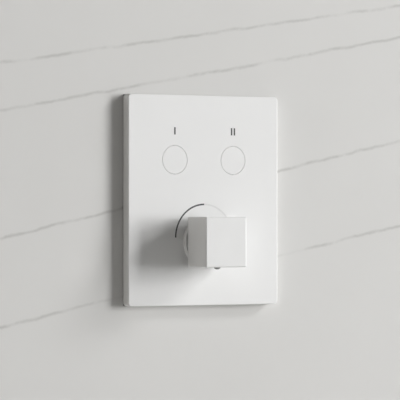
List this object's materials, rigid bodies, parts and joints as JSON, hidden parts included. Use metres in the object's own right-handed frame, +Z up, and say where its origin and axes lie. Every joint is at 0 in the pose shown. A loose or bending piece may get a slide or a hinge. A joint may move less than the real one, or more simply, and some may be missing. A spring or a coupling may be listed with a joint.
{
  "type": "thermostatic shower valve",
  "caption": "Concealed thermostatic shower valve: white rectangular cover plate with round push buttons and a square knob, in front of the brass valve body that they work.",
  "frame": {"origin": "centre of the cover plate's back, on the finished wall surface, at the centre of the carrier's wall screws", "axes": "+X to the user's right, +Z up, +Y into the wall, so the user stands on the -Y side"},
  "size_m": [0.188, 0.1334, 0.21],
  "materials": {
    "white_trim": "satin",
    "dark_print": "matt",
    "pale_print": "matt",
    "grey_plastic": "moulded",
    "dark_plastic": "satin",
    "valve_plastic": "moulded",
    "rubber": "matt",
    "cast_brass": "as cast",
    "turned_brass": "machined",
    "stainless": "brushed",
    "zinc_plated": "galvanised"
  },
  "bodies": {
    "valve": {"cover_plate": "white_trim", "knob_collar": "white_trim", "numeral_one": "dark_print", "numeral_two": "dark_print", "hot_scale": "dark_print", "cold_scale": "pale_print", "carrier_frame": "grey_plastic", "left_button_guide": "grey_plastic", "right_button_guide": "grey_plastic", "temperature_stop_ring": "grey_plastic", "hot_check_cage": "valve_plastic", "cold_check_cage": "valve_plastic", "plate_seal": "rubber", "thermostat_o_rings": "rubber", "cartridge_o_rings": "rubber", "stop_o_rings": "rubber", "valve_body": "cast_brass", "thermostat_nut": "turned_brass", "thermostat_housing": "turned_brass", "left_push_cartridge": "turned_brass", "right_push_cartridge": "turned_brass", "left_cartridge_nut": "turned_brass", "right_cartridge_nut": "turned_brass", "carrier_screws": "stainless", "cover_clips": "stainless", "return_spring": "stainless", "left_valve_spring": "stainless", "right_valve_spring": "stainless", "hot_check_spring": "stainless", "cold_check_spring": "stainless", "hot_inlet_strainer": "stainless", "cold_inlet_strainer": "stainless", "retaining_rings": "stainless", "upper_wall_bracket": "zinc_plated", "lower_wall_bracket": "zinc_plated", "bracket_screws": "zinc_plated"},
    "knob": {"thermostat_knob": "white_trim", "knob_insert": "grey_plastic", "insert_screw": "stainless", "grub_screw": "stainless", "thermostat_spindle": "turned_brass", "safety_button_spring": "stainless"},
    "safety_button": {"safety_button": "dark_plastic"},
    "mixer": {"thermostat_pusher": "turned_brass", "wax_element": "turned_brass", "regulating_sleeve": "stainless"},
    "left_button": {"left_button_cap": "white_trim", "left_push_rod": "valve_plastic", "left_valve_stem": "stainless", "left_valve_disc": "rubber"},
    "right_button": {"right_button_cap": "white_trim", "right_push_rod": "valve_plastic", "right_valve_stem": "stainless", "right_valve_disc": "rubber"},
    "hot_check": {"hot_check_poppet": "valve_plastic"},
    "cold_check": {"cold_check_poppet": "valve_plastic"},
    "hot_stop": {"hot_service_stop": "turned_brass"},
    "cold_stop": {"cold_service_stop": "turned_brass"}
  },
  "joints": [
    {"name": "knob_turn", "type": "hinge", "parent": "valve", "child": "knob", "pos_m": [0, -0.03, -0.0416], "axis": [0, 1, 0], "range_deg": [-90, 90]},
    {"name": "safety_press", "type": "slide", "parent": "knob", "child": "safety_button", "axis": [0, 0, 1], "range_m": [0, 0.0022], "stiffness_N_per_m": 2400, "springref_m": -0.001, "deforming": ["safety_button_spring"]},
    {"name": "mixer_shift", "type": "slide", "parent": "valve", "child": "mixer", "axis": [0, 1, 0], "range_m": [-0.0018, 0.0018], "deforming": ["return_spring"]},
    {"name": "left_button_press", "type": "slide", "parent": "valve", "child": "left_button", "axis": [0, 1, 0], "range_m": [0, 0.0035], "stiffness_N_per_m": 1430, "springref_m": -0.003, "deforming": ["left_valve_spring"]},
    {"name": "right_button_press", "type": "slide", "parent": "valve", "child": "right_button", "axis": [0, 1, 0], "range_m": [0, 0.0035], "stiffness_N_per_m": 1430, "springref_m": -0.003, "deforming": ["right_valve_spring"]},
    {"name": "hot_check_open", "type": "slide", "parent": "valve", "child": "hot_check", "axis": [1, 0, 0], "range_m": [0, 0.003], "stiffness_N_per_m": 470, "springref_m": -0.0005, "deforming": ["hot_check_spring"]},
    {"name": "cold_check_open", "type": "slide", "parent": "valve", "child": "cold_check", "axis": [-1, 0, 0], "range_m": [0, 0.003], "stiffness_N_per_m": 470, "springref_m": -0.0005, "deforming": ["cold_check_spring"]},
    {"name": "hot_stop_turn", "type": "hinge", "parent": "valve", "child": "hot_stop", "pos_m": [-0.047, 0.03, -0.0416], "axis": [0, 1, 0], "range_deg": [0, 90]},
    {"name": "cold_stop_turn", "type": "hinge", "parent": "valve", "child": "cold_stop", "pos_m": [0.047, 0.03, -0.0416], "axis": [0, 1, 0], "range_deg": [0, 90]}
  ],
  "couplings": [
    {"joint": "mixer_shift", "follows": "knob_turn", "m_per_rad": 0.0011459}
  ]
}
